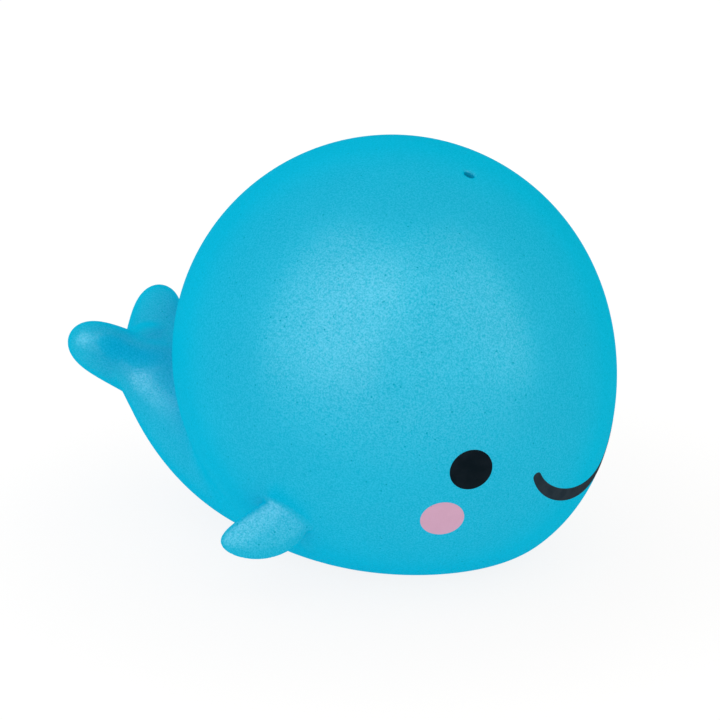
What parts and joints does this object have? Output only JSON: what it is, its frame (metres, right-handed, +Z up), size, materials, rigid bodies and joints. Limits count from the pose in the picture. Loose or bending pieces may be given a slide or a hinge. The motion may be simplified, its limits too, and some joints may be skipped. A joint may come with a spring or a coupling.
{
  "type": "squeaky bath toy",
  "caption": "Round hollow vinyl whale bath toy with a curled tail, side flippers, a printed face, a blowhole and a reed squeaker snapped into its flat base.",
  "frame": {"origin": "centre of the flat base, on the floor, under the middle of the dome and on the squeaker's axis", "axes": "+X towards the nose, +Y to the whale's left, +Z up"},
  "size_m": [0.1037, 0.0862, 0.0753],
  "materials": {
    "blue_vinyl": "satin",
    "black_ink": "satin",
    "pink_ink": "satin",
    "white_polyethylene": "satin",
    "grey_polystyrene": "gloss",
    "clear_film": "gloss"
  },
  "bodies": {
    "toy": {"body_shell": "blue_vinyl", "right_eye": "black_ink", "left_eye": "black_ink", "right_cheek": "pink_ink", "left_cheek": "pink_ink", "mouth": "black_ink", "squeaker_housing": "white_polyethylene", "squeaker_cap": "white_polyethylene", "reed_block": "grey_polystyrene", "reed_wedge": "grey_polystyrene"},
    "tongue": {"reed": "clear_film"}
  },
  "joints": [
    {"name": "reed_beat", "type": "hinge", "parent": "toy", "child": "tongue", "pos_m": [0, 0, 0.00215], "axis": [0, -1, 0], "range_deg": [0, 2.19], "stiffness_Nm_per_rad": 0.001}
  ]
}
